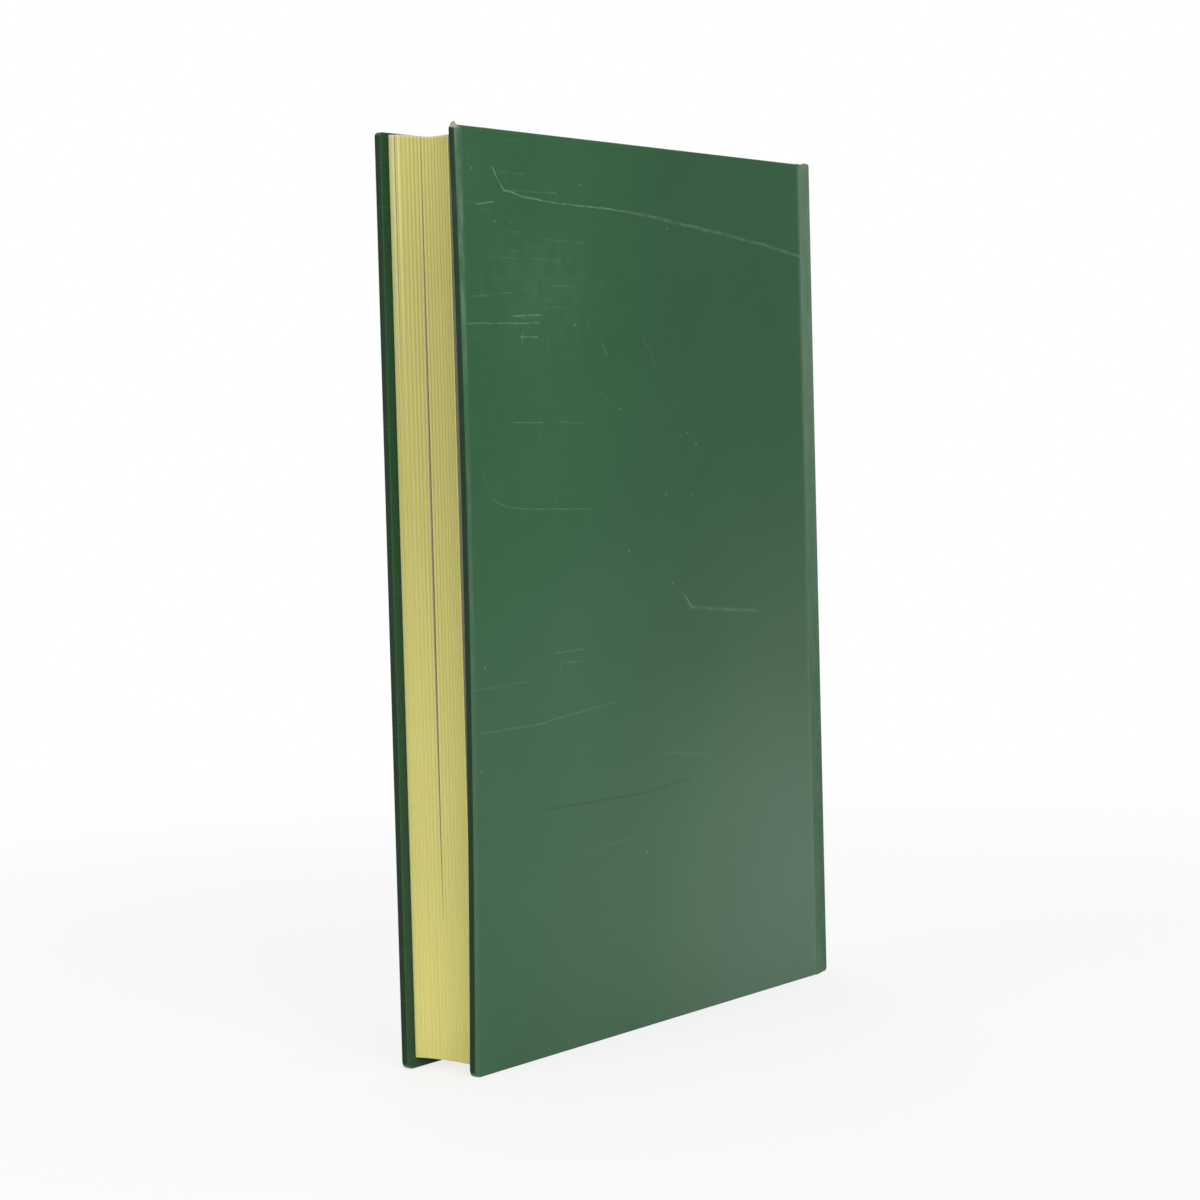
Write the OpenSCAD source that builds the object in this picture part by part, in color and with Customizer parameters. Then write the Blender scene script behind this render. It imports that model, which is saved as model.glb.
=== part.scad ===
// Case-bound hardback book with sewn signatures, standing on its tail with the covers shut.
// The fore edge points to +X, the back cover to +Y and the head to +Z.
// The origin is the middle of the outside box, on the surface that the book stands on.

/* [Covers] */
// Height of a cover
cover_h = 246; // [180:1:320]
// Width of a cover, from its joint edge to its fore edge
cover_w = 170; // [120:1:230]
// Thickness of the grey board in each cover
board_t = 1.75; // [1.5:0.05:3]
// Thickness of the covering cloth
cloth_t = 0.25; // [0.2:0.05:0.4]
// Rounding of the cloth along the cover edges
edge_r = 0.5; // [0.2:0.05:0.6]
// Cloth turned in over the board edges
turn_in = 15; // [10:1:20]
// Width of the groove between a board and the spine
joint_w = 8; // [7:0.5:12]

/* [Warp of the back cover] */
// Stand-off from the pages at the head end of the fore edge
lift_head = 1.9; // [0:0.1:3]
// Stand-off half-way up the fore edge
lift_mid = 2.5; // [2:0.1:4]

/* [Pages] */
// Thickness of all the pages pressed together
block_t = 19.2; // [10:0.1:40]
// Number of folded and sewn signatures
signatures = 17; // [6:1:30]
// Board edge beyond the pages at the fore edge
square_fore = 2.9; // [1:0.1:5]
// Board edge above the pages at the head
square_head = 0.7; // [0.7:0.1:5]
// Board edge below the pages at the tail
square_tail = 3; // [1:0.1:5]
// How far the folds round out at the middle of the spine
round_rise = 1.8; // [1:0.1:3]
// Depth of the valleys between the folds
fold_deep = 0.35; // [0.1:0.05:0.5]
// Depth of the lines between the signatures at the fore edge
line_deep = 0.15; // [0.05:0.05:0.3]
// How far the last signatures have sunk at the head of the fore edge
head_sag = 1.4; // [0.1:0.1:2]
// The same at the tail
tail_sag = 0.3; // [0.1:0.1:1]
// Share of the thickness over which the sinking grows, from the front cover
sag_share = 0.7; // [0.3:0.05:1]

/* [Gap between the pages] */
// Widest opening between two signatures at the fore edge
gap_w = 0.85; // [0.2:0.05:1.5]
// How far the opening reaches in from the fore edge
gap_deep = 60; // [20:5:90]
// Lower end of the opening above the tail of the pages
gap_low = 35; // [10:5:60]
// Height above the head of the pages at which the opening would close
gap_over = 9; // [2:1:20]
// Place of the opening, as a share of the thickness from the front
gap_share = 0.47; // [0.2:0.01:0.8]

/* [Endpapers and linings] */
// Thickness of an endpaper
end_t = 0.2; // [0.15:0.05:0.3]
// Paste between an endpaper and the layer that it is glued to
glue_t = 0.05; // [0.05:0.01:0.1]
// Air left between a pastedown and its flyleaf
end_air = 0.1; // [0.05:0.05:0.3]
// How far a pastedown ends inside the edges of the pages
paste_back = 0.2; // [0:0.1:2]
// Thickness of the gauze on the folds
mull_t = 0.25; // [0.15:0.05:0.4]
// How far the gauze reaches in over each board
mull_reach = 25; // [15:1:40]
// Clear space between the gauze and the turned-in cloth
mull_clear = 0.5; // [0.3:0.1:2]
// Thickness of the paper on the gauze
lining_t = 0.2; // [0.1:0.05:0.4]
// How far the lining and the card stop short of each shoulder
side_clear = 0.4; // [0.3:0.1:1]
// Radius of the headband bead
bead_r = 0.45; // [0.3:0.05:0.5]
// Height of the headband tape on the folds
tape_h = 12; // [8:1:14]

/* [Spine] */
// Thickness of the card in the spine
inlay_t = 0.6; // [0.4:0.1:1]
// Air between the lining and the hollow back
hollow = 0.4; // [0.3:0.05:1]
// Outside radius of the cloth over each shoulder
shoulder_r = 0.7; // [0.5:0.1:1]
// Slope of the cloth from a shoulder into the joint
shoulder_slope = 42; // [35:1:55]
// How far the spine stands above the boards at the head
spine_proud = 0.6; // [0.1:0.1:1]
// Clear space between the fixed and the swinging cloth in a joint
hinge_gap = 0.3; // [0.2:0.05:0.5]

/* [Hidden] */
$fn = 96;

// How far a cutting shape runs past what it cuts
over = 1;
// How far one part of a bent sheet runs into the next, so that the sheet is one solid
lap = 0.1;
lap_angle = 0.5;

cloth_green = "#3c6145";
paper_white = "#e9e4d2";
page_yellow = "#c8c273";
board_grey = "#8c8578";
gauze_cream = "#d9d2bd";
card_brown = "#a3845c";

// Layers of a cover, as distances from the middle of the pages
half_t = block_t / 2;
leaf_out = half_t + end_t;
paste_in = leaf_out + end_air;
paste_out = paste_in + end_t;
turn_y = paste_out + glue_t;
board_in = turn_y + cloth_t;
board_out = board_in + board_t;
face_y = board_out + cloth_t;
groove_y = board_in + cloth_t;

// Rounded back: everything on the spine is concentric with the folds, which swell as far as the endpapers
fold_half = turn_y;
fold_r = (fold_half * fold_half + round_rise * round_rise) / (2 * round_rise);
fold_angle = asin(fold_half / fold_r);
mull_r = fold_r + mull_t;
lining_r = mull_r + lining_t;
turn_r = lining_r + hollow;
inlay_in_r = turn_r + cloth_t;
inlay_out_r = inlay_in_r + inlay_t;
spine_r = inlay_out_r + cloth_t;
shoulder_c = spine_r - shoulder_r;
back_x = shoulder_c * cos(fold_angle) - joint_w + shoulder_r;
spine_x = back_x - spine_r;
function trimmed(r) = fold_angle - side_clear / r * 180 / PI;

// Joints: the covers swing about the middle of the grooves, level with the cover faces
hinge_x = -joint_w / 2;
fixed_end = hinge_x - hinge_gap / 2;
swing_end = hinge_x + hinge_gap / 2;
leaf_fold_x = fixed_end - 2 * end_t;
flare_x = leaf_fold_x - end_t;

// Pages
page_z = square_tail;
page_h = cover_h - square_tail - square_head;
page_x = cover_w - square_fore;
pitch = block_t / signatures;
spine_h = cover_h + spine_proud;
mull_z = turn_in + mull_clear;
mull_h = cover_h - 2 * mull_z;

// Warp: the stand-off grows from nothing at the joint edge to the full amount at the fore edge
warp_steps = 24;
warp_columns = 4;
lift_peak = lift_mid + pow(lift_head / 2, 2) / (4 * (lift_mid - lift_head / 2));
function lift_at(u) = lift_mid + lift_head / 2 * u + (lift_head / 2 - lift_mid) * u * u;
function lift(x, z) = max(0, x) / cover_w * lift_at(2 * z / cover_h - 1);

// Middle of the outside box, seen from above
mid_x = (cover_w + spine_x) / 2;
mid_y = lift_peak / 2;

function polar(r, a) = [back_x - r * cos(a), r * sin(a)];

module placed() {
    translate([-mid_x, -mid_y, 0]) children();
}

// A front piece is the mirror image of a back piece
module on_front() {
    placed() mirror([0, 1, 0]) children();
}

// Outline of a slab: along its inner face, round one end, back along its outer face and round the other end
corner_steps = 3;
least_corner = 0.05;
function columns(x0, x1) = concat(
    x0 < 0 ? [x0] : [],
    [for (k = [0:warp_columns]) max(0, x0) + (x1 - max(0, x0)) * k / warp_columns]
);
function reversed(list) = [for (k = [len(list) - 1:-1:0]) list[k]];
function corner(cx, cy, r, from, steps) = [
    for (k = steps)
        let (a = from + 90 * k / corner_steps)
        [cx + r * cos(a), cy + r * sin(a)]
];
function round_outline(x0, x1, y0, y1, r) = concat(
    [for (x = columns(x0 + r, x1 - r)) [x, y0]],
    corner(x1 - r, y0 + r, r, 270, [1:corner_steps]),
    corner(x1 - r, y1 - r, r, 0, [0:corner_steps - 1]),
    [for (x = reversed(columns(x0 + r, x1 - r))) [x, y1]],
    corner(x0 + r, y1 - r, r, 90, [1:corner_steps]),
    corner(x0 + r, y0 + r, r, 180, [0:corner_steps - 1])
);
function plain_outline(x0, x1, y0, y1) = concat(
    [for (x = columns(x0, x1)) [x, y0]],
    [for (x = reversed(columns(x0, x1))) [x, y1]]
);

// Level face of a slab with so many columns, as strips between its two long sides
function end_face(n, across) =
    let (round = (n - 2 * across) / 2, far = n - round - 1)
    concat(
        [for (j = [0:across - 2]) [j, j + 1, far - j - 1, far - j]],
        round > 0 ? [[for (j = [across - 1:across + round]) j], [for (j = [far:n]) j % n]] : []
    );

// Solid through a stack of level outlines, each point moved out by the warp
module warped_stack(outlines, levels, across) {
    n = len(outlines[0]);
    last = len(levels) - 1;
    points = [
        for (i = [0:last], p = outlines[i]) [p[0], p[1] + lift(p[0], levels[i]), levels[i]]
    ];
    walls = [
        for (i = [0:last - 1], j = [0:n - 1])
            let (a = i * n + j, b = i * n + (j + 1) % n)
            each [[a, a + n, b + n], [a, b + n, b]]
    ];
    floor_faces = end_face(n, across);
    roof_faces = [for (f = floor_faces) [for (j = reversed(f)) last * n + j]];
    polyhedron(points = points, faces = concat(walls, floor_faces, roof_faces));
}

// Slab between two corners, with its edges rounded by r, flat or warped
module slab(lo, hi, r, warped) {
    if (warped && r > 0) {
        ends = [for (k = [0:corner_steps]) let (a = 90 * k / corner_steps) [r - r * sin(a), r - r * cos(a)]];
        inner = [for (i = [1:warp_steps - 1]) lo[2] + r + (hi[2] - lo[2] - 2 * r) * i / warp_steps];
        insets = concat(
            [for (e = ends) e[0]],
            [for (i = inner) 0],
            [for (k = [corner_steps:-1:0]) ends[k][0]]
        );
        levels = concat(
            [for (e = ends) lo[2] + e[1]],
            inner,
            [for (k = [corner_steps:-1:0]) hi[2] - ends[k][1]]
        );
        outlines = [
            for (d = insets)
                round_outline(lo[0] + d, hi[0] - d, lo[1] + d, hi[1] - d, max(r - d, least_corner))
        ];
        warped_stack(outlines, levels, warp_columns + 1);
    } else if (warped) {
        outline = plain_outline(lo[0], hi[0], lo[1], hi[1]);
        levels = [for (i = [0:warp_steps]) lo[2] + (hi[2] - lo[2]) * i / warp_steps];
        warped_stack([for (z = levels) outline], levels, len(outline) / 2);
    } else if (r > 0) {
        intersection() {
            translate([0, 0, lo[2]])
                linear_extrude(hi[2] - lo[2])
                    round_rect([lo[0], lo[1]], [hi[0], hi[1]], r);
            translate([lo[0], 0, 0])
                rotate([90, 0, 90])
                    linear_extrude(hi[0] - lo[0])
                        round_rect([lo[1], lo[2]], [hi[1], hi[2]], r);
        }
    } else {
        translate(lo) cube(hi - lo);
    }
}

module round_rect(lo, hi, r) {
    size = hi - lo;
    translate([lo[0] + r, lo[1]]) square([size[0] - 2 * r, size[1]]);
    translate([lo[0], lo[1] + r]) square([size[0], size[1] - 2 * r]);
    for (x = [lo[0] + r, hi[0] - r], y = [lo[1] + r, hi[1] - r])
        translate([x, y]) circle(r);
}

// Band on the rounded back, between two radii and two heights
module back_band(r0, r1, z0, z1, angle = fold_angle) {
    translate([back_x, 0, 0])
        rotate_extrude(start = 180 - angle, angle = 2 * angle)
            translate([r0, z0]) square([r1 - r0, z1 - z0]);
}

// Both sides of the book from one drawn on the back
module both_sides() {
    children();
    mirror([0, 1, 0]) children();
}

// Text block: folds at the back, a hollow fore edge, and the edges of the signatures
fold_steps = 6;
side_angle = asin(half_t / fold_r);
fore_back = fold_r * cos(side_angle) + page_x;
function fold_point(i, k) =
    let (
        t = k / fold_steps,
        a = -fold_angle + (i + t) * 2 * fold_angle / signatures,
        r = fold_r - fold_deep * (1 - sin(180 * t))
    )
    polar(r, a);
function fore_point(y, deep) = [fore_back - sqrt(fold_r * fold_r - y * y) - deep, y];
line_half = pitch / 4;
function fore_line(i) =
    let (y = -half_t + i * pitch)
    [fore_point(y - line_half, 0), fore_point(y, line_deep), fore_point(y + line_half, 0)];

module block_outline() {
    folds = [for (i = [signatures - 1:-1:0], k = [fold_steps:-1:1]) fold_point(i, k)];
    lines = [for (i = [1:signatures - 1]) each fore_line(i)];
    polygon(concat(
        [polar(fold_r - fold_deep, -fold_angle), [flare_x, -half_t], [page_x, -half_t]],
        lines,
        [[page_x, half_t], [flare_x, half_t]],
        folds
    ));
}

// The opening between two signatures: a long lens on the fore edge, closing like a wedge inwards
gap_steps = 16;
gap_line = round(gap_share * signatures);
gap_span = page_h + gap_over - gap_low;
function lens_point(k, side) =
    let (u = 2 * k / gap_steps - 1)
    [side * gap_w / 2 * (1 - u * u), gap_low + gap_span * k / gap_steps];

module page_gap() {
    right = [for (k = [0:gap_steps]) lens_point(k, 1)];
    left = [for (k = [gap_steps - 1:-1:1]) lens_point(k, -1)];
    tip_x = page_x - gap_deep;
    mouth_x = page_x + over;
    translate([0, -half_t + gap_line * pitch, page_z])
        intersection() {
            translate([tip_x, 0, 0])
                rotate([90, 0, 90])
                    linear_extrude(gap_deep + over)
                        polygon(concat(right, left));
            linear_extrude(page_h + over)
                polygon([[tip_x, 0], [mouth_x, -gap_w / 2], [mouth_x, gap_w / 2]]);
        }
}

// Trimmed head and tail of one signature between two sides: level at the folds, sunk at the fore edge
function sunk(i, most) =
    let (u = min(1, (i + 0.5) / signatures / sag_share))
    most * u * u * (3 - 2 * u);

module trim(i, y0, y1) {
    far_x = page_x + over;
    head_z = page_z + page_h;
    translate([0, y1, 0])
        rotate([90, 0, 0])
            linear_extrude(y1 - y0)
                polygon([
                    [spine_x, page_z],
                    [0, page_z],
                    [far_x, page_z - sunk(i, tail_sag)],
                    [far_x, head_z - sunk(i, head_sag)],
                    [0, head_z],
                    [spine_x, head_z]
                ]);
}

module text_block() {
    last = signatures - 1;
    side_y = fold_half + over;
    color(page_yellow)
        placed()
            difference() {
                intersection() {
                    translate([0, 0, page_z - over]) linear_extrude(page_h + 2 * over) block_outline();
                    for (i = [0:last])
                        trim(
                            i,
                            i == 0 ? -side_y : -half_t + i * pitch - lap / 2,
                            i == last ? side_y : -half_t + (i + 1) * pitch + lap / 2
                        );
                }
                page_gap();
            }
}

// Gauze glued over the folds and down both shoulders, as far as the joints
module mull() {
    color(gauze_cream)
        placed() {
            back_band(fold_r, mull_r, mull_z, mull_z + mull_h);
            both_sides()
                translate([0, 0, mull_z])
                    linear_extrude(mull_h)
                        polygon([
                            polar(fold_r, fold_angle),
                            [leaf_fold_x, turn_y],
                            [fixed_end, turn_y],
                            [fixed_end, board_in],
                            [leaf_fold_x, board_in],
                            polar(mull_r, fold_angle),
                            polar(fold_r + mull_t / 2, fold_angle - lap_angle)
                        ]);
        }
}

// Paper glued over the gauze and the headband tapes
module back_lining() {
    color(card_brown)
        placed()
            back_band(mull_r, lining_r, page_z + bead_r, page_z + page_h - bead_r, trimmed(mull_r));
}

// Headband: a bead on the ends of the folds, and the tape that holds it
module end_band() {
    back_band(fold_r, mull_r, -tape_h, bead_r);
    translate([back_x, 0, bead_r])
        rotate_extrude(start = 180 - fold_angle, angle = 2 * fold_angle)
            translate([fold_r, 0]) circle(bead_r);
}

module head_band() {
    color(paper_white) placed() translate([0, 0, page_z + page_h]) end_band();
}

module tail_band() {
    color(paper_white) placed() translate([0, 0, page_z]) mirror([0, 0, 1]) end_band();
}

// Flyleaf on the pages, folded back on itself at the joint
module flyleaf(signature) {
    intersection() {
        translate([0, 0, page_z - over])
            linear_extrude(page_h + 2 * over) {
                translate([leaf_fold_x, half_t]) square([page_x - leaf_fold_x, end_t]);
                translate([leaf_fold_x, half_t]) square([end_t, paste_out - half_t]);
                translate([leaf_fold_x, paste_in]) square([fixed_end - leaf_fold_x, end_t]);
            }
        trim(signature, half_t - over, paste_out + over);
    }
}

module front_flyleaf() {
    color(paper_white) on_front() flyleaf(0);
}

module back_flyleaf() {
    color(paper_white) placed() flyleaf(signatures - 1);
}

// Card that stiffens the hollow back
module spine_inlay() {
    color(card_brown)
        placed()
            back_band(inlay_in_r, inlay_out_r, cloth_t, spine_h - cloth_t, trimmed(inlay_in_r));
}

// Spine part of the covering: over the card, turned in at head and tail, and down into both joints
bend_lap = 15;
module spine_cloth() {
    outward = [sin(shoulder_slope), cos(shoulder_slope)];
    down = [cos(shoulder_slope), -sin(shoulder_slope)];
    centre = polar(shoulder_c, fold_angle);
    high = centre + shoulder_r * outward;
    inner = high - cloth_t * outward;
    foot_x = high[0] + (high[1] - groove_y) / tan(shoulder_slope);
    inner_x = foot_x - cloth_t * tan(shoulder_slope / 2);
    bend_from = fold_angle - bend_lap;
    far = 4 * shoulder_r;
    color(cloth_green)
        placed() {
            back_band(inlay_out_r, spine_r, 0, spine_h);
            for (z = [0, spine_h - cloth_t])
                back_band(turn_r, spine_r, z, z + cloth_t);
            for (z = [0, spine_h - turn_in])
                back_band(turn_r, inlay_in_r, z, z + turn_in);
            both_sides() {
                linear_extrude(spine_h)
                    difference() {
                        intersection() {
                            translate(centre) circle(shoulder_r);
                            polygon([
                                centre,
                                centre + far * [-cos(bend_from), sin(bend_from)],
                                centre + far * [-sin(fold_angle), cos(fold_angle)],
                                centre + far * outward
                            ]);
                        }
                        translate(centre) circle(shoulder_r - cloth_t);
                    }
                linear_extrude(spine_h)
                    polygon([
                        high,
                        (high + inner) / 2 - lap * down,
                        inner,
                        [inner_x, groove_y - cloth_t],
                        [fixed_end, groove_y - cloth_t],
                        [fixed_end, groove_y],
                        [foot_x, groove_y]
                    ]);
                for (z = [0, spine_h - turn_in])
                    translate([leaf_fold_x, turn_y, z])
                        cube([fixed_end - leaf_fold_x, cloth_t, turn_in]);
            }
        }
}

// Pieces of a cover, drawn for the back one
module board(warped) {
    slab([cloth_t, board_in, cloth_t], [cover_w - cloth_t, board_out, cover_h - cloth_t], 0, warped);
}

// Covering of a board: outer face, three turned-in edges, and the strip into the joint
module cover_cloth(warped) {
    window_h = cover_h - 2 * turn_in;
    gauze_way = [over + 3 * cloth_t, over + 1.5 * cloth_t, window_h];
    difference() {
        slab([0, turn_y, 0], [cover_w, face_y, cover_h], edge_r, warped);
        board(warped);
        slab(
            [2 * cloth_t, turn_y - over, turn_in],
            [cover_w - turn_in, groove_y, cover_h - turn_in],
            0, warped
        );
        translate([-over, turn_y - over, turn_in]) cube(gauze_way);
    }
    linear_extrude(cover_h)
        polygon([
            [swing_end, board_in],
            [cloth_t, board_in],
            [cloth_t, groove_y + cloth_t],
            [0, groove_y + cloth_t],
            [-cloth_t, groove_y],
            [swing_end, groove_y]
        ]);
    for (z = [0, cover_h - turn_in])
        translate([swing_end, turn_y, z])
            cube([edge_r - swing_end, cloth_t, turn_in]);
}

// Gauze carried in under the pastedown
module mull_flap(warped) {
    slab([swing_end, turn_y, mull_z], [mull_reach, board_in - glue_t, mull_z + mull_h], 0, warped);
}

// Endpaper half glued to the board, sunk where no cloth or gauze lies under it
module pastedown(warped) {
    sink_x = mull_reach + end_t;
    sink_end = cover_w - turn_in - end_t;
    sink_z = turn_in + end_t;
    sink_in = paste_in + end_t / 4;
    sink_out = board_in - glue_t;
    difference() {
        union() {
            slab(
                [swing_end, paste_in, page_z + paste_back],
                [page_x - paste_back, paste_out, page_z + page_h - paste_back],
                0, warped
            );
            slab([sink_x, sink_in, sink_z], [sink_end, sink_out, cover_h - sink_z], 0, warped);
        }
        slab(
            [sink_x + end_t, paste_in - over, sink_z + end_t],
            [sink_end - end_t, sink_out - end_t, cover_h - sink_z - end_t],
            0, warped
        );
    }
}

module front_board() {
    color(board_grey) on_front() board(false);
}

module front_cloth() {
    color(cloth_green) on_front() cover_cloth(false);
}

module front_mull_flap() {
    color(gauze_cream) on_front() mull_flap(false);
}

module front_pastedown() {
    color(paper_white) on_front() pastedown(false);
}

module back_board() {
    color(board_grey) placed() board(true);
}

module back_cloth() {
    color(cloth_green) placed() cover_cloth(true);
}

module back_mull_flap() {
    color(gauze_cream) placed() mull_flap(true);
}

module back_pastedown() {
    color(paper_white) placed() pastedown(true);
}

text_block();
mull();
back_lining();
head_band();
tail_band();
front_flyleaf();
back_flyleaf();
spine_inlay();
spine_cloth();
front_board();
front_cloth();
front_mull_flap();
front_pastedown();
back_board();
back_cloth();
back_mull_flap();
back_pastedown();
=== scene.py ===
from math import asin, copysign, cos, pi, radians, sin, sqrt, tan

import bmesh
import bpy
from mathutils import Matrix, Vector


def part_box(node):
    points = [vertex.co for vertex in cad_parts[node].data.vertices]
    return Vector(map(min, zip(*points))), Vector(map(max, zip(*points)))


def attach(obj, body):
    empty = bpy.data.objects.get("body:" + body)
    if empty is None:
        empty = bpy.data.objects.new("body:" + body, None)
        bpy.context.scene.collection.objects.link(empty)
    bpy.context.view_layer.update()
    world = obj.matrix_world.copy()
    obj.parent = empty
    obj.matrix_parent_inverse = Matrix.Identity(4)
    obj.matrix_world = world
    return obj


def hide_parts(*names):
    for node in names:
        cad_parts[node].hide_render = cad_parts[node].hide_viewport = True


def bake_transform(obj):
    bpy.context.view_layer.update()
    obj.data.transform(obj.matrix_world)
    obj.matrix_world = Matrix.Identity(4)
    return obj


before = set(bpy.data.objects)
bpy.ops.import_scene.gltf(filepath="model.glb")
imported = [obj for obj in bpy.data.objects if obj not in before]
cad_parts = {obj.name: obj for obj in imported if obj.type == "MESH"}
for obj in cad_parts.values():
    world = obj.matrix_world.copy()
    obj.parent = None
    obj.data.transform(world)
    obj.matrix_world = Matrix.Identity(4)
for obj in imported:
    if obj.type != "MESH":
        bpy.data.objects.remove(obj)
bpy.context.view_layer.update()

MM = 0.001

# Book coordinates: X from a board's joint edge to the fore edge, Y from the middle of the pages to the
# back cover, Z from the tail to the head. All sizes are metres.
board_lo, board_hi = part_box("front_board")
page_lo, page_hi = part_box("text_block")
paste_lo, paste_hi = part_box("front_pastedown")
gauze_lo, gauze_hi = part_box("front_mull_flap")
spine_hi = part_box("spine_cloth")[1]

CLOTH_T = 0.25 * MM
PAPER_T = 0.2 * MM
GAUZE_T = 0.2 * MM
TURN_IN = 15 * MM
EDGE_R = 0.5 * MM
BOARD_EDGE_R = 0.2 * MM
ORIGIN = Vector((board_lo.x - CLOTH_T, (page_lo.y + page_hi.y) / 2, 0))
COVER_W = board_hi.x + CLOTH_T - ORIGIN.x
COVER_H = board_hi.z + CLOTH_T
BOARD_IN = ORIGIN.y - board_hi.y
BOARD_OUT = ORIGIN.y - board_lo.y
FACE = BOARD_OUT + CLOTH_T
TURN_Y = BOARD_IN - CLOTH_T
GROOVE = BOARD_IN + CLOTH_T
HALF_T = (page_hi.y - page_lo.y) / 2
PAGE_X = page_hi.x - ORIGIN.x
PAGE_Z0 = page_lo.z
PAGE_Z1 = page_hi.z
SPINE_H = spine_hi.z

# Warp of the back cover, as the photograph shows it
LIFT_HEAD = 1.9 * MM
LIFT_MID = 2.5 * MM

# Pages: number of signatures, how far their head has sunk at the fore edge beside the back cover, and the
# share of the thickness over which it sinks
SIGNATURES = 17
HEAD_SAG = 1.4 * MM
SAG_SHARE = 0.7

# Rounded spine: how far the folds round out, width of a joint, thickness from the folds to the outside, and
# thickness of the cover over the spine and in the joints
ROUND_RISE = 1.8 * MM
JOINT_W = 8 * MM
SPINE_BUILD = 1.95 * MM
SPINE_WALL = 1.1 * MM
JOINT_WALL = 2 * CLOTH_T
SHOULDER_R = 0.7 * MM
SHOULDER_SLOPE = radians(42)
FOLD_R = (TURN_Y**2 + ROUND_RISE**2) / (2 * ROUND_RISE)
FOLD_ANGLE = asin(TURN_Y / FOLD_R)
SPINE_R = FOLD_R + SPINE_BUILD
BACK_X = (SPINE_R - SHOULDER_R) * cos(FOLD_ANGLE) - JOINT_W + SHOULDER_R
SHOULDER_Y = (SPINE_R - SHOULDER_R) * sin(FOLD_ANGLE) + SHOULDER_R

# Height over which the cloth rolls in at the ends of the spine, and over which the groove runs out there
ROLL_HEAD = 1.6 * MM
ROLL_TAIL = 2.2 * MM
FILL_REACH = 4 * MM

# Distances from the joint edge at which the card begins and the head line begins to rise to the spine's, each
# with the length of the change, and the lengths over which the groove's end begins and stops
CARD_FROM = 5.5 * MM
CARD_CHANGE = 2 * MM
RISE_FROM = 0.5 * MM
RISE_CHANGE = 4 * MM
FILL_BEGINS = 0.25 * MM
FILL_STOPS = 0.5 * MM

# Ends of the stretch between the pages and a cover in each joint; the script bends nothing over it
BEND_FROM = -4.6 * MM
BEND_TO = -0.6 * MM

# Rounding of the fore corners of the covers, seen square on
TAIL_CORNER_R = 2.4 * MM
HEAD_CORNER_R = 1.3 * MM

# How finely the pieces are divided, how near to a cut a corner counts as on it, and the angle from which an
# edge is shown sharp
EDGE_SEGMENTS = 4
COVER_STATIONS = 24
CORNER_STEPS = 5
BEND_COLUMNS = 20
FLAT_COLUMNS = 24
STRIP_ROWS = 30
SHEET_ROWS = 30
GAUZE_ROWS = 20
CUT_TOLERANCE = 1e-7
SHARP_ANGLE = radians(45)

# Worn head corner of the back cover: half sizes of the tuft, and how far its middle lies inside the corner
TIP_SIZE = Vector((0.7, 0.9, 1.0)) * MM
TIP_IN = 0.9 * MM
TIP_DOWN = 0.45 * MM


def lift(x, z):
    """Stand-off of the back cover from the pages."""
    u = 2 * z / COVER_H - 1
    rise = LIFT_MID + LIFT_HEAD / 2 * u + (LIFT_HEAD / 2 - LIFT_MID) * u * u
    return max(0, x) / COVER_W * rise


def smooth(t):
    t = min(1, max(0, t))
    return t * t * (3 - 2 * t)


def steps(start, end, count):
    return [start + (end - start) * k / count for k in range(count + 1)]


# Camera and stage. The camera is fitted to the straight edges of the book in the photograph, and EYE is in
# book coordinates.

PHOTO_SIZE = 1200
FOCAL_PIXELS = 3002.4
SENSOR_MM = 36
EYE = Vector((777.26, 488.97, 164.19)) * MM
VIEW_AZIMUTH = radians(35.4936)
VIEW_PITCH = radians(3.0168)
VIEW_ROLL = radians(-1.5038)
CAMERA_REACH = 50

LAMPS = (
    # (name, place, aim, size, power)
    ("key", (0.75, 1.35, 0.70), (0, 0, 0.08), 0.9, 13.5),
    ("fore", (1.4, -0.35, 0.45), (0, 0, 0.06), 0.8, 7.5),
    ("top", (-0.3, -0.1, 1.6), (0, 0, 0.1), 1.0, 7),
    ("behind", (-1.2, -1.2, 0.8), (0, 0, 0.12), 0.9, 7.5),
)
WORLD_LIGHT = 0.32
WHITE = (1, 1, 1, 1)

# The floor, and how far from the middle it begins and ends turning white for the camera
FLOOR_REACH = 6
FLOOR_COLOUR = (0.86, 0.86, 0.86, 1)
WHITE_FROM = 0.15
WHITE_TO = 0.7
WHITE_AT_BOOK = 0.8


def add_camera():
    back = Vector((
        cos(VIEW_AZIMUTH) * cos(VIEW_PITCH),
        sin(VIEW_AZIMUTH) * cos(VIEW_PITCH),
        sin(VIEW_PITCH),
    ))
    right = (-back).cross(Vector((0, 0, 1))).normalized()
    up = right.cross(-back)
    turned_right = right * cos(VIEW_ROLL) + up * sin(VIEW_ROLL)
    turned_up = up * cos(VIEW_ROLL) - right * sin(VIEW_ROLL)
    data = bpy.data.cameras.new("camera")
    data.sensor_width = SENSOR_MM
    data.lens = FOCAL_PIXELS / PHOTO_SIZE * SENSOR_MM
    data.clip_end = CAMERA_REACH
    camera = bpy.data.objects.new("camera", data)
    turn = Matrix((turned_right, turned_up, back)).transposed().to_4x4()
    camera.matrix_world = Matrix.Translation(EYE + ORIGIN) @ turn
    bpy.context.scene.collection.objects.link(camera)
    bpy.context.scene.camera = camera


def add_lamp(name, place, aim, size, power):
    data = bpy.data.lights.new(name, "AREA")
    data.shape = "DISK"
    data.size = size
    data.energy = power
    lamp = bpy.data.objects.new(name, data)
    lamp.location = place
    lamp.rotation_euler = (Vector(aim) - Vector(place)).to_track_quat("-Z", "Y").to_euler()
    bpy.context.scene.collection.objects.link(lamp)


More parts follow.
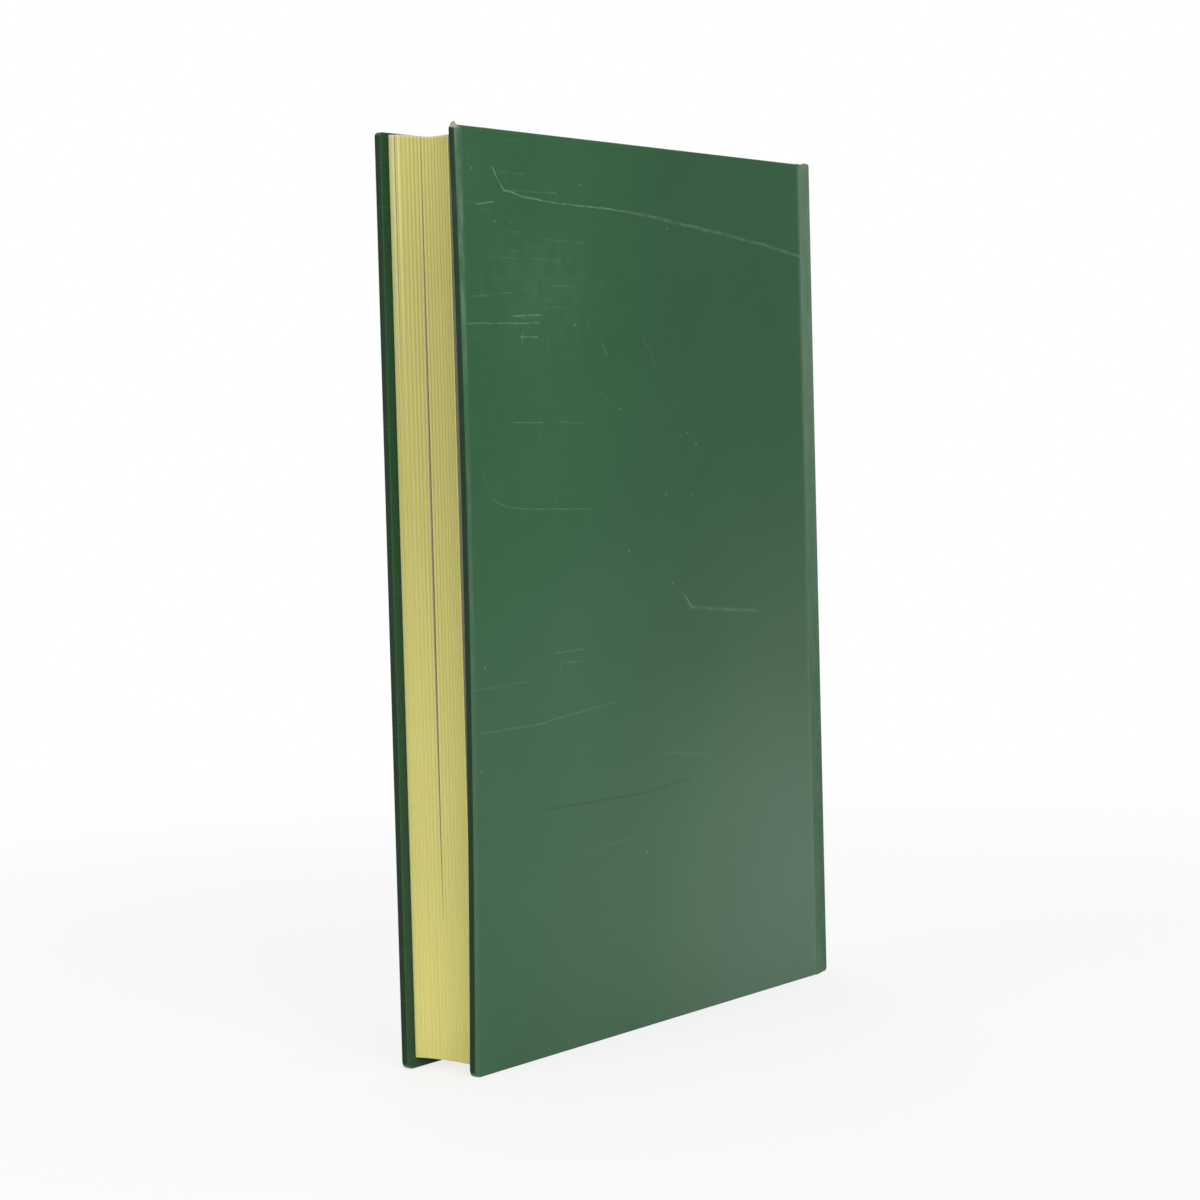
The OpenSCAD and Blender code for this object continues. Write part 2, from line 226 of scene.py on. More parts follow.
def white_rays(tree):
    """1 for rays that see the background: from the camera, in reflections and through clear things."""
    path = tree.nodes.new("ShaderNodeLightPath")
    total = path.outputs["Is Camera Ray"]
    for name in ("Is Glossy Ray", "Is Transmission Ray"):
        both = tree.nodes.new("ShaderNodeMath")
        both.operation = "MAXIMUM"
        tree.links.new(total, both.inputs[0])
        tree.links.new(path.outputs[name], both.inputs[1])
        total = both.outputs[0]
    return total


def add_floor():
    """Pale floor: white to the camera and to reflections, with a soft shadow left on it."""
    bm = bmesh.new()
    bmesh.ops.create_grid(bm, x_segments=1, y_segments=1, size=FLOOR_REACH)
    mesh = bpy.data.meshes.new("floor")
    bm.to_mesh(mesh)
    bm.free()
    floor = bpy.data.objects.new("floor", mesh)
    bpy.context.scene.collection.objects.link(floor)
    material = bpy.data.materials.new("floor")
    material.use_nodes = True
    tree = material.node_tree
    tree.nodes.clear()
    diffuse = tree.nodes.new("ShaderNodeBsdfDiffuse")
    diffuse.inputs["Color"].default_value = FLOOR_COLOUR
    glow = tree.nodes.new("ShaderNodeEmission")
    glow.inputs["Color"].default_value = WHITE
    mix = tree.nodes.new("ShaderNodeMixShader")
    end = tree.nodes.new("ShaderNodeOutputMaterial")
    place = tree.nodes.new("ShaderNodeTexCoord")
    far = tree.nodes.new("ShaderNodeVectorMath")
    far.operation = "LENGTH"
    white = tree.nodes.new("ShaderNodeMapRange")
    white.interpolation_type = "SMOOTHSTEP"
    white.inputs["From Min"].default_value = WHITE_FROM
    white.inputs["From Max"].default_value = WHITE_TO
    white.inputs["To Min"].default_value = WHITE_AT_BOOK
    share = tree.nodes.new("ShaderNodeMath")
    share.operation = "MULTIPLY"
    tree.links.new(place.outputs["Object"], far.inputs[0])
    tree.links.new(far.outputs["Value"], white.inputs["Value"])
    tree.links.new(white.outputs[0], share.inputs[0])
    tree.links.new(white_rays(tree), share.inputs[1])
    tree.links.new(share.outputs[0], mix.inputs[0])
    tree.links.new(diffuse.outputs[0], mix.inputs[1])
    tree.links.new(glow.outputs[0], mix.inputs[2])
    tree.links.new(mix.outputs[0], end.inputs[0])
    mesh.materials.append(material)


def add_world():
    world = bpy.data.worlds.new("studio")
    bpy.context.scene.world = world
    world.use_nodes = True
    tree = world.node_tree
    background = tree.nodes["Background"]
    background.inputs["Color"].default_value = WHITE
    strength = tree.nodes.new("ShaderNodeMapRange")
    strength.inputs["To Min"].default_value = WORLD_LIGHT
    strength.inputs["To Max"].default_value = 1
    tree.links.new(white_rays(tree), strength.inputs["Value"])
    tree.links.new(strength.outputs[0], background.inputs["Strength"])


# Materials: sockets that do sums, and one way to add any other node


class Signal:
    """A socket of a material. An expression on signals adds the Math nodes that work it out."""

    def __init__(self, finish, socket):
        self.finish = finish
        self.socket = socket

    def math(self, operation, *values, clamp=False):
        inputs = dict(enumerate(values))
        return self.finish.add("ShaderNodeMath", {"operation": operation, "use_clamp": clamp}, inputs)

    def __add__(self, other):
        return self.math("ADD", self, other)

    def __sub__(self, other):
        return self.math("SUBTRACT", self, other)

    def __mul__(self, other):
        return self.math("MULTIPLY", self, other)

    def __truediv__(self, other):
        return self.math("DIVIDE", self, other)

    def __rsub__(self, other):
        return self.math("SUBTRACT", other, self)

    __radd__ = __add__
    __rmul__ = __mul__

    def __abs__(self):
        return self.math("ABSOLUTE", self)

    def fraction(self):
        return self.math("FRACT", self)

    def sine(self):
        return self.math("SINE", self)

    def least(self, other):
        return self.math("MINIMUM", self, other)

    def most(self, other):
        return self.math("MAXIMUM", self, other)

    def clamped(self):
        return self.math("MULTIPLY", self, 1, clamp=True)

    def between(self, start, end):
        """0 before start, 1 after end and a smooth rise between them."""
        settings = {"interpolation_type": "SMOOTHSTEP"}
        limits = {"Value": self, "From Min": start, "From Max": end}
        return self.finish.add("ShaderNodeMapRange", settings, limits)

    def near(self, middle, reach):
        """1 at the middle, and a smooth fall to 0 at the reach on both sides."""
        return 1 - abs(self - middle).between(0, reach)


class Finish:
    """A material, with the places on the book as signals in millimetres."""

    def __init__(self, name, roughness=0.6, specular=0.3):
        self.material = bpy.data.materials.new(name)
        self.material.use_nodes = True
        self.tree = self.material.node_tree
        self.tree.nodes.clear()
        self.shader = self.tree.nodes.new("ShaderNodeBsdfPrincipled")
        end = self.tree.nodes.new("ShaderNodeOutputMaterial")
        self.tree.links.new(self.shader.outputs[0], end.inputs[0])
        self.shader.inputs["Roughness"].default_value = roughness
        self.shader.inputs["Specular IOR Level"].default_value = specular
        place = self.add("ShaderNodeTexCoord", output="Object")
        moved = self.vector_math("SUBTRACT", {0: place, 1: tuple(ORIGIN)})
        self.x, self.y, self.z = self.split(self.scaled(moved, 1 / MM))

    def add(self, kind, settings=None, inputs=None, output=0):
        node = self.tree.nodes.new(kind)
        for key, value in (settings or {}).items():
            setattr(node, key, value)
        for key, value in (inputs or {}).items():
            if isinstance(value, Signal):
                self.tree.links.new(value.socket, node.inputs[key])
            else:
                node.inputs[key].default_value = value
        return Signal(self, node.outputs[output])

    def vector_math(self, operation, inputs, output=0):
        return self.add("ShaderNodeVectorMath", {"operation": operation}, inputs, output)

    def split(self, vector):
        node = self.tree.nodes.new("ShaderNodeSeparateXYZ")
        self.tree.links.new(vector.socket, node.inputs[0])
        return [Signal(self, socket) for socket in node.outputs]

    def vector(self, x, y, z):
        return self.add("ShaderNodeCombineXYZ", None, {0: x, 1: y, 2: z})

    def noise(self, x, y, z, detail=2, roughness=0.5):
        """Noise from 0 to 1, with one cell per millimetre of the numbers given."""
        inputs = {"Vector": self.vector(x, y, z), "Scale": 1, "Detail": detail, "Roughness": roughness}
        return self.add("ShaderNodeTexNoise", None, inputs)

    def mixed(self, share, first, second):
        """The first colour, turning into the second as the share goes from 0 to 1."""
        node = self.tree.nodes.new("ShaderNodeMix")
        node.data_type = "RGBA"
        sockets = {"Factor_Float": share, "A_Color": first, "B_Color": second}
        for socket in node.inputs:
            value = sockets.get(socket.identifier)
            if isinstance(value, Signal):
                self.tree.links.new(value.socket, socket)
            elif value is not None:
                socket.default_value = (*value, 1)
        return Signal(self, node.outputs[2])

    def scaled(self, colour, amount):
        return self.vector_math("SCALE", {0: colour, "Scale": amount})

    def use(self, name, signal):
        self.tree.links.new(signal.socket, self.shader.inputs[name])

    def bump(self, height, strength, distance):
        inputs = {"Height": height, "Strength": strength, "Distance": distance}
        self.use("Normal", self.add("ShaderNodeBump", None, inputs))


class CoverMarks:
    """Distances in millimetres from marks on a cover, which are given as (x, z) points and waver a little."""

    def __init__(self, finish):
        x, z = finish.x, finish.z
        self.finish = finish
        self.x = x + WAVER_X * (finish.noise(x * 0.25, 0, z * 0.25, 2) - 0.5)
        self.z = z + WAVER_Z * (finish.noise(x * 0.11, 5, z * 0.11, 3) - 0.5)

    def place(self, after):
        """Place on the cover, seen square on.

        It adds nothing, as the signal after never reaches 2, but waits for it, so that the marks are worked
        out one by one and few values are held at once.
        """
        wait = (after - 2).clamped()
        return self.finish.vector(self.x + wait, 0, self.z)

    def dot(self, point, after):
        inputs = {0: self.place(after), 1: (point[0], 0, point[1])}
        return self.finish.vector_math("DISTANCE", inputs, "Value")

    def line(self, points, after):
        """Distance from the nearest of the straight stretches between points."""
        vector_math = self.finish.vector_math
        flat = self.place(after)
        best = None
        for (x0, z0), (x1, z1) in zip(points, points[1:]):
            run = Vector((x1 - x0, 0, z1 - z0))
            per_length = tuple(run / run.length_squared)
            away = vector_math("SUBTRACT", {0: flat, 1: (x0, 0, z0)})
            along = vector_math("DOT_PRODUCT", {0: away, 1: per_length}, "Value").clamped()
            nearest = vector_math("SCALE", {0: tuple(run), "Scale": along})
            gap = vector_math("DISTANCE", {0: away, 1: nearest}, "Value")
            best = gap if best is None else best.least(gap)
        return best


def darker(colour, share):
    return tuple(share * value for value in colour)


# Places on the back cover, in millimetres from the joint edge and from the tail

WAVER_X = 0.9
WAVER_Z = 1.0
SCRATCHES = (
    # (width, strength, points)
    (0.45, 0.60, ((154.6, 236), (150.2, 230.3), (141.5, 228.9), (126, 228.1), (95, 227.5))),
    (0.90, 0.26, ((95, 227.5), (80, 226.5), (52, 224), (25, 221.4), (-0.7, 218.2))),
    (0.40, 0.60, ((161.7, 226.1), (154.8, 226.9))),
    (0.45, 0.22, ((150.2, 230), (126, 230.8))),
    (0.45, 0.18, ((151.2, 234.9), (141, 234.7))),
    (0.40, 0.16, ((133, 218.2), (113.7, 218))),
    (0.40, 0.20, ((158.3, 212.6), (127, 212.9))),
    (0.40, 0.24, ((166.2, 202.4), (148, 203.6))),
    (0.40, 0.16, ((126.3, 201.7), (117, 202))),
    (0.40, 0.50, ((147.8, 197.6), (135.6, 198.1))),
    (0.45, 0.40, ((167.8, 195.4), (136, 196))),
    (0.40, 0.50, ((145, 192.2), (137.3, 192.3))),
    (0.40, 0.40, ((144, 193.5), (144.2, 190.1))),
    (0.45, 0.34, ((107, 191), (104.8, 187.3))),
    (0.45, 0.24, ((86.8, 192.7), (81.2, 185.2))),
    (0.40, 0.24, ((149.2, 169.9), (135.8, 169.5))),
    (0.40, 0.20, ((128, 169.7), (115.3, 169.3))),
    (0.40, 0.24, ((163, 156.4), (158.9, 149.8), (152.9, 147.8), (144, 147), (115, 146))),
    (0.90, 0.34, ((69.6, 120.6), (65.1, 116.4))),
    (1.00, 0.26, ((65.1, 116.4), (29.8, 113.1))),
    (0.40, 0.26, ((132, 108.1), (119.8, 108.3))),
    (0.40, 0.24, ((130.2, 105.3), (119.4, 105))),
    (0.35, 0.16, ((169.4, 101), (143, 101.5))),
    (0.40, 0.30, ((166.8, 89.6), (140.3, 89.8), (125, 91.1), (105, 92.6))),
    (0.60, 0.14, ((85.6, 76.6), (56, 73.3))),
    (0.40, 0.14, ((120.5, 52.8), (107.6, 53.9), (95.3, 54.3))),
)
# Line of a crease in the back cover, drawn only as painted shade
CREASE = ((137.7, 66.5), (117.8, 66.4), (90, 66), (67.9, 67.6))
SPECKS = (
    (73.1, 223.5), (115.1, 233.5), (69.2, 165.5), (65.6, 166), (61, 162.8), (105.9, 175.8), (99.2, 173),
    (77.2, 149), (63.7, 148), (44.4, 148.6), (96.5, 133.8), (67.1, 132.2), (75.2, 123.5), (90.5, 49.2),
    (101.1, 41.3), (61.3, 7.4), (166.6, 79.8), (130.2, 104.2), (164.1, 106.8), (119.6, 195.7),
    (154.3, 221.9), (147.4, 222), (163.5, 235.2),
)

# Colours, as linear light
GREEN = (0.019, 0.098, 0.035)
PALE_GREEN = (0.130, 0.215, 0.140)
SHEEN_GREEN = (0.130, 0.205, 0.145)
SHADE_GREEN = (0.006, 0.018, 0.007)
SCRATCH_PALE = (0.250, 0.340, 0.230)
WORN_PALE = (0.480, 0.470, 0.360)
STAIN = (0.715, 0.665, 0.198)
STAIN_PALE = (0.820, 0.790, 0.380)
DARK_STAIN_AND_SHADE = (0.480, 0.445, 0.130)
PAPER = (0.780, 0.745, 0.640)
OLD_PAPER = (0.600, 0.570, 0.400)
TONED_PAPER = (0.660, 0.580, 0.400)
CARD = (0.270, 0.180, 0.090)
GREY_BOARD = (0.250, 0.225, 0.185)
GAUZE = (0.700, 0.660, 0.540)


def painted_sheen(f, colour, cloud):
    """Painted sheen, a reflection of the bright floor, strongest low down beside the joint, and none in the
    joint itself.
    """
    low = f.z.between(190, 20) * f.x.between(-1.5, 0)
    joint_side = f.x.between(120, 10)
    fore_side = f.x.between(120, 165)
    sheen = low * (0.34 + 0.35 * joint_side - 0.10 * fore_side) + 0.10 * cloud
    return f.mixed(sheen.clamped(), colour, SHEEN_GREEN)


def edges_worn_lit_and_shaded(f, colour, rub):
    """Painted highlight by the joint, worn edges with a painted highlight, and painted shade on the fore and
    inner faces.
    """
    x, y, z = f.x, f.y, f.z
    # Painted highlight on the cloth in and beyond the joint, stronger towards the head and varied by the rub
    # noise
    edge = x + 2.2 * (rub - 0.5)
    strip = edge.between(2.8, -2.2) * (0.45 + 0.40 * z.between(95, 200) + 0.6 * (rub - 0.5))
    colour = f.mixed(strip.clamped(), colour, PALE_GREEN)

    # Wear along the head and tail edges, and wear with a painted highlight on the rounded fore edge, widest
    # at the head
    from_end = COVER_H / MM / 2 - abs(z - COVER_H / MM / 2)
    from_fore = COVER_W / MM - x
    at_head = z.between(170, 244)
    worn = rub.between(0.32, 0.72) * z.between(60, 245)
    ridge_wear_and_highlight = from_fore.near(0.9, 1.2 + 1.3 * at_head) * (0.26 + 0.90 * worn)
    ends = from_end.near(0.3, 0.8) * rub.between(0.45, 0.8) * 0.25
    outer = abs(y).between(BOARD_IN / MM, FACE / MM)
    colour = f.mixed((ridge_wear_and_highlight.most(ends) * outer).clamped() * 0.75, colour, PALE_GREEN)

    # Painted shade on the fore edge's face, which gets less light, and on the inner face of the cover beside
    # the pages
    facing = f.split(f.add("ShaderNodeTexCoord", output="Normal"))
    fore_face_shade = facing[0].between(0.80, 0.99) * from_fore.between(2.5, 1.5)
    inner_face_shade = abs(y).between(BOARD_IN / MM + 0.4, BOARD_IN / MM - 0.2)
    colour = f.mixed(fore_face_shade * (0.97 - 0.12 * rub), colour, SHADE_GREEN)
    return f.mixed(inner_face_shade * 0.48, colour, SHADE_GREEN)


def scratches(f, on_cover, scuffs):
    """Strength of the pale marks on the back cover: fine scuffs, a rubbed patch, scratches and specks."""
    x, z = f.x, f.z
    broken = 0.40 + 0.85 * f.noise(x * 0.22, 0, z * 0.22, 3).between(0.35, 0.62)
    patch = x.near(134, 38) * z.near(206, 26)
    head_side = x.between(60, 150) * z.between(60, 235)
    upright = f.noise(x * 1.7, 0, z * 0.05, 3, 0.65).between(0.55, 0.75)
    marks = scuffs * (0.26 * patch + 0.12 * head_side) + upright * 0.10 * head_side + 0.05 * patch
    for width, strength, points in SCRATCHES:
        reach = width * 0.75
        away = on_cover.line(points, marks)
        marks = marks.most(away.between(reach, reach * 0.1) * strength * 0.75)
    for speck in SPECKS:
        marks = marks.most(on_cover.dot(speck, marks).between(0.6, 0.15) * 0.30)
    return (marks * broken).clamped()


def corner_wear(f, rub, reach, ends, amount):
    """Strength of the wear at the fore corners, within reach of the fore edge and where ends is 1."""
    corner = (COVER_W / MM - f.x).near(0, reach) * ends
    return (corner * rub.between(0.35, 0.6) * amount).clamped()


def book_cloth(name, marked):
    """Coated cloth: threads in both directions, rubbed edges with painted highlights and painted shade, a
    painted sheen, and on the back cover its scratches.
    """
    f = Finish(name, specular=0.12)
    x, y, z = f.x, f.y, f.z
    weft = f.noise(x * 0.06, y * 0.3, z * 2.4, 3)
    warp = f.noise(x * 2.4, y * 2.4, z * 0.05, 3)
    cloud = f.noise(x * 0.03, y * 0.03, z * 0.03, 3)
    fine = f.noise(x * 1.5, y * 1.5, z * 1.5, 2)
    colour = f.scaled(GREEN, 0.78 + 0.12 * weft + 0.08 * warp + 0.12 * fine + 0.14 * cloud)
    colour = painted_sheen(f, colour, cloud)
    rub = f.noise(x * 0.5, y * 0.5, z * 0.13, 3)
    colour = edges_worn_lit_and_shaded(f, colour, rub)

    # The cover is a little darker towards the joint, above the painted sheen
    joint_side = x.between(135, 60) * x.between(-1, 3) * z.between(50, 110)
    colour = f.scaled(colour, 1 - 0.17 * joint_side)

    rough = 0.40 + 0.10 * fine + 0.05 * cloud
    scuffs = f.noise(x * 0.045, 0, z * 1.9, 4, 0.7).between(0.55, 0.74)
    if marked:
        on_face = y.between(0, HALF_T / MM)
        on_cover = CoverMarks(f)
        marks = scratches(f, on_cover, scuffs) * on_face
        colour = f.mixed(marks, colour, SCRATCH_PALE)
        # Painted shade along the crease
        crease = on_cover.line(CREASE, marks).between(0.5, 0.1) * on_face
        colour = f.mixed(crease * 0.20, colour, SHADE_GREEN)
        blob = x.near(-1.0, 2.2) * z.near(226, 5) * on_face
        colour = f.mixed(blob * 0.45 * rub.between(0.2, 0.6), colour, SCRATCH_PALE)
        ends = (z - COVER_H / MM).near(0, 1.3).most(z.near(0, 1.0))
        colour = f.mixed(corner_wear(f, rub, 2.6, ends, 1.1) * on_face, colour, WORN_PALE)
        rough = rough + 0.12 * marks
    else:
        colour = f.mixed(scuffs * 0.10 * x.between(0, 20), colour, SCRATCH_PALE)
        colour = f.mixed(corner_wear(f, rub, 2.2, z.near(0, 1.0), 1.4), colour, WORN_PALE)
    f.use("Base Color", colour)
    f.use("Roughness", rough)
    f.bump(0.5 * weft + 0.5 * warp, 0.25, 0.06 * MM)
    return f.material


def page_head(f):
    """Height of the pages' head in millimetres: level at the folds, and sunk at the back of the fore edge."""
    share = (f.y / (2 * HALF_T / MM) + 0.5).between(0, SAG_SHARE)
    return PAGE_Z1 / MM - HEAD_SAG / MM * share * (f.x / (PAGE_X / MM)).clamped()


def page_edges():
    """Stained leaf edges: signature lines in painted shade, leaf streaks, painted light and shade, and plain
    paper in the opening.
    """
    f = Finish("page_edges", specular=0.2)
    x, y, z = f.x, f.y, f.z
    front = y + HALF_T / MM
    pitch = 2 * HALF_T / MM / SIGNATURES
    sway = (f.noise(0, y * 0.5, z * 0.012, 1) - 0.5) * 0.2
    turn = ((front + sway) / pitch).fraction()
    groove = abs(turn - 0.5).between(0.24, 0.45)
    height = z.between(10, 215)
    streak = f.noise(y * 9, x * 0.04, z * 0.03, 3, 0.6)
    broad = f.noise(y * 2.2, x * 0.02, z * 0.015, 2)
    grain = f.noise(x * 3, y * 6, z * 3, 2)
    colour = f.mixed(0.22 * streak + 0.40 * broad + 0.30, DARK_STAIN_AND_SHADE, STAIN)
    colour = f.mixed(0.15 * grain + 0.25 * streak.between(0.5, 0.8), colour, STAIN_PALE)
    # Painted shade in the grooves between signatures, deeper towards the head
    colour = f.mixed((groove * (0.22 + 0.73 * height)).clamped(), colour, DARK_STAIN_AND_SHADE)

    # Unstained leaves near the front cover, clearest at the head, with a shadow line between them
    fading = z.between(150, 232)
    colour = f.mixed(front.near(2.75, 0.55) * fading * 0.7, colour, STAIN_PALE)
    colour = f.mixed(front.near(1.25, 0.26) * fading * 0.8, colour, PAPER)
    colour = f.mixed(front.near(1.75, 0.28) * fading * 0.9, colour, CARD)

    # Paler stain and a painted highlight under the trimmed head, and edges in painted shade that are dullest
    # half-way up
    normal = f.split(f.add("ShaderNodeTexCoord", output="Normal"))
    trimmed = (z - page_head(f)).between(-0.7, -0.25) * abs(normal[2]).between(0.8, 0.4)
    colour = f.mixed(trimmed * 0.40, colour, PAPER)
    shade = 0.10 * z.between(10, 60) + 0.14 * z.between(60, 170) - 0.08 * z.between(205, 240)
    colour = f.scaled(colour, 1 - shade)

    # The walls of the opening face sideways
    inner = abs(normal[1]).between(0.75, 0.95)
    colour = f.mixed(inner, colour, OLD_PAPER)
    f.use("Base Color", colour)
    f.use("Roughness", 0.58 + 0.14 * grain)
    f.bump(0.7 * streak + 0.3 * grain - groove, 0.5, 0.05 * MM)
    return f.material


def paper(name, stained):
    """Endpaper: off-white with faint fibres, toned round its edges, and stained where it was trimmed."""
    f = Finish(name, roughness=0.7, specular=0.2)
    x, y, z = f.x, f.y, f.z
    fibre = f.noise(x * 1.2, y * 1.2, z * 0.5, 4, 0.6)
    cloud = f.noise(x * 0.03, y * 0.03, z * 0.03, 2)
    colour = f.scaled(PAPER, 0.93 + 0.06 * fibre + 0.05 * cloud)
    rim = (page_head(f) - z).least(z - PAGE_Z0 / MM).least(PAGE_X / MM - x)
    colour = f.mixed(rim.between(9, 0) * 0.22, colour, TONED_PAPER)
    if stained:
        colour = f.mixed(rim.between(0.12, 0.04), colour, STAIN)
    f.use("Base Color", colour)
    f.use("Roughness", 0.66 + 0.1 * fibre)
    f.bump(fibre, 0.3, 0.04 * MM)
    return f.material


def grey_board():
    f = Finish("grey_board", roughness=0.85, specular=0.15)
    fleck = f.noise(f.x * 2, f.y * 6, f.z * 2, 4, 0.7)
    colour = f.mixed(fleck.between(0.35, 0.7), darker(GREY_BOARD, 0.8), GREY_BOARD)
    f.use("Base Color", f.mixed(fleck.between(0.68, 0.75) * 0.5, colour, PAPER))
    f.bump(fleck, 0.6, 0.1 * MM)
    return f.material


def gauze():
    """Open weave: threads both ways, darker in the holes between them."""
    f = Finish("gauze", roughness=0.9, specular=0.1)
    thread_pitch = 0.9
    around = f.x + f.y
    across = (around * (2 * pi / thread_pitch)).sine()
    along = (f.z * (2 * pi / thread_pitch)).sine()
    thread = across.most(along)
    colour = f.mixed(thread.between(-0.4, 0.5), darker(GAUZE, 0.55), GAUZE)
    f.use("Base Color", colour)
    f.bump(thread, 0.7, 0.1 * MM)
    return f.material


def brown_card():
    f = Finish("brown_card", roughness=0.8, specular=0.2)
    fibre = f.noise(f.x * 1.5, f.y * 1.5, f.z * 0.4, 4, 0.65)
    f.use("Base Color", f.mixed(fibre.between(0.3, 0.75), darker(CARD, 0.75), CARD))
    f.bump(fibre, 0.4, 0.05 * MM)
    return f.material


def headband():
    """Woven band: cream threads with a rib every half millimetre."""
    f = Finish("headband", roughness=0.75, specular=0.2)
    rib_pitch = 0.5
    rib = (f.y * (2 * pi / rib_pitch)).sine()
    fibre = f.noise(f.x * 5, f.y * 5, f.z * 5, 2)
    colour = f.mixed(rib.between(-1, 0.3), darker(PAPER, 0.6), PAPER)
    f.use("Base Color", f.mixed(fibre * 0.3, colour, GAUZE))
    f.bump(rib, 0.8, 0.1 * MM)
    return f.material


def worn_fibre():
    f = Finish("worn_fibre", roughness=0.9, specular=0.1)
    tuft = f.noise(f.x * 5, f.y * 5, f.z * 5, 4, 0.7)
    f.use("Base Color", f.mixed(tuft.between(0.4, 0.65), WORN_PALE, GREY_BOARD))
    f.bump(tuft, 0.8, 0.3 * MM)
    return f.material


# Pieces


def map_grid(columns, rows, place):
    """A sheet of quads, with the corner at each column and row where place says."""
    bm = bmesh.new()
    bmesh.ops.create_grid(bm, x_segments=len(columns) - 1, y_segments=len(rows) - 1, size=1)
    for v in bm.verts:
        i = round((v.co.x + 1) / 2 * (len(columns) - 1))
        j = round((v.co.y + 1) / 2 * (len(rows) - 1))
        v.co = place(columns[i], rows[j])
    return bm


def to_front(bm):
    """The mirror image, for the front side."""
    bmesh.ops.scale(bm, vec=(1, -1, 1), verts=bm.verts)
    bmesh.ops.reverse_faces(bm, faces=bm.faces)


def add_piece(name, bm, finish, wall=0):
    """Turns a bmesh in book coordinates into an object, with a wall on the side away from its faces."""
    bmesh.ops.translate(bm, vec=ORIGIN, verts=bm.verts)
    mesh = bpy.data.meshes.new(name)
    bm.to_mesh(mesh)
    bm.free()
    piece = bpy.data.objects.new(name, mesh)
    bpy.context.scene.collection.objects.link(piece)
    mesh.materials.append(finish)
    if wall:
        solidify = piece.modifiers.new("wall", "SOLIDIFY")
        solidify.thickness = wall
        solidify.offset = -1
        bpy.context.view_layer.update()
        shaped = piece.evaluated_get(bpy.context.evaluated_depsgraph_get())
        piece.data = bpy.data.meshes.new_from_object(shaped)
        piece.modifiers.clear()
        piece.data.name = name
    piece.data.shade_smooth()
    piece.data.set_sharp_from_angle(angle=SHARP_ANGLE)
    return piece


def cut(bm, axis, stations):
    """Adds an edge loop at each station along an axis."""
    normal = Vector([float(axis == k) for k in range(3)])
    for station in stations:
        geom = bm.verts[:] + bm.edges[:] + bm.faces[:]
        bmesh.ops.bisect_plane(
            bm, geom=geom, dist=CUT_TOLERANCE, plane_co=normal * station, plane_no=normal
        )


def slab(lo, hi, rounding):
    """Box between two corners with its edges rounded."""
    bm = bmesh.new()
    bmesh.ops.create_cube(bm, size=1)
    bmesh.ops.scale(bm, vec=hi - lo, verts=bm.verts)
    bmesh.ops.translate(bm, vec=(hi + lo) / 2, verts=bm.verts)
    bmesh.ops.bevel(
        bm, geom=bm.edges[:], offset=rounding, offset_type="OFFSET", segments=EDGE_SEGMENTS, profile=0.5,
        affect="EDGES", material=-1,
    )
    return bm


def shape_cover(bm, warped):
    """Rounds the fore corners of a cover piece, and bows it off the pages."""
    for v in bm.verts:
        at_head = v.co.z > COVER_H / 2
        reach = HEAD_CORNER_R if at_head else TAIL_CORNER_R
        over_x = v.co.x - (COVER_W - reach)
        over_z = v.co.z - (COVER_H - reach) if at_head else reach - v.co.z
        if over_x > 0 and over_z > 0:
            round_x = over_x * sqrt(1 - over_z**2 / (2 * reach**2))
            round_z = over_z * sqrt(1 - over_x**2 / (2 * reach**2))
            v.co.x += round_x - over_x
            v.co.z += (round_z - over_z) * (1 if at_head else -1)
        if warped:
            v.co.y += lift(v.co.x, v.co.z)


def corner_stations(radius):
    """Distances from an edge over a rounded corner, from its radius down."""
    return [radius * (1 - k / CORNER_STEPS) for k in range(CORNER_STEPS)]


def cover_stations(length):
    """Even stations along a cover, with closer ones beside both edges."""
    stations = steps(0, length, COVER_STATIONS)[1:-1]
    beside = (0.8 * MM, 1.6 * MM, 2.6 * MM)
    return stations + list(beside) + [length - d for d in beside]


def cut_cover(bm):
    """Divides a cover piece, so that it can be rounded at its fore corners and bowed."""
    along_width = cover_stations(COVER_W) + [COVER_W - d for d in corner_stations(TAIL_CORNER_R)]
    along_width += [COVER_W - HEAD_CORNER_R * k / CORNER_STEPS for k in (1, 3, 5)]
    along_height = cover_stations(COVER_H) + corner_stations(TAIL_CORNER_R)
    along_height += [COVER_H - d for d in corner_stations(HEAD_CORNER_R)]
    cut(bm, 0, along_width)
    cut(bm, 2, along_height)


def cover_cloth(name, finish, warped):
    """Cloth over one board, turned in on three sides and open where it runs on into the joint."""
    bm = slab(Vector((0, TURN_Y, 0)), Vector((COVER_W, FACE, COVER_H)), EDGE_R)
    cut_cover(bm)
    cut(bm, 0, [COVER_W - TURN_IN])
    cut(bm, 2, [TURN_IN, COVER_H - TURN_IN])
    cut(bm, 1, [GROOVE])
    slack = 0.01 * MM
    gone = []
    for face in bm.faces:
        middle = face.calc_center_median()
        in_window = (
            middle.y < TURN_Y + slack and middle.x < COVER_W - TURN_IN
            and TURN_IN < middle.z < COVER_H - TURN_IN
        )
        in_joint = middle.x < EDGE_R / 2 and middle.y < GROOVE
        if in_window or in_joint:
            gone.append(face)
    bmesh.ops.delete(bm, geom=gone, context="FACES")
    shape_cover(bm, warped)
    if not warped:
        to_front(bm)
    return add_piece(name, bm, finish, CLOTH_T)


def board_card(name, finish, warped):
    inset = Vector((CLOTH_T, 0, CLOTH_T))
    lo = Vector((0, BOARD_IN, 0)) + inset
    hi = Vector((COVER_W, BOARD_OUT, COVER_H)) - inset
    bm = slab(lo, hi, BOARD_EDGE_R)
    cut_cover(bm)
    shape_cover(bm, warped)
    if not warped:
        to_front(bm)
    return add_piece(name, bm, finish)


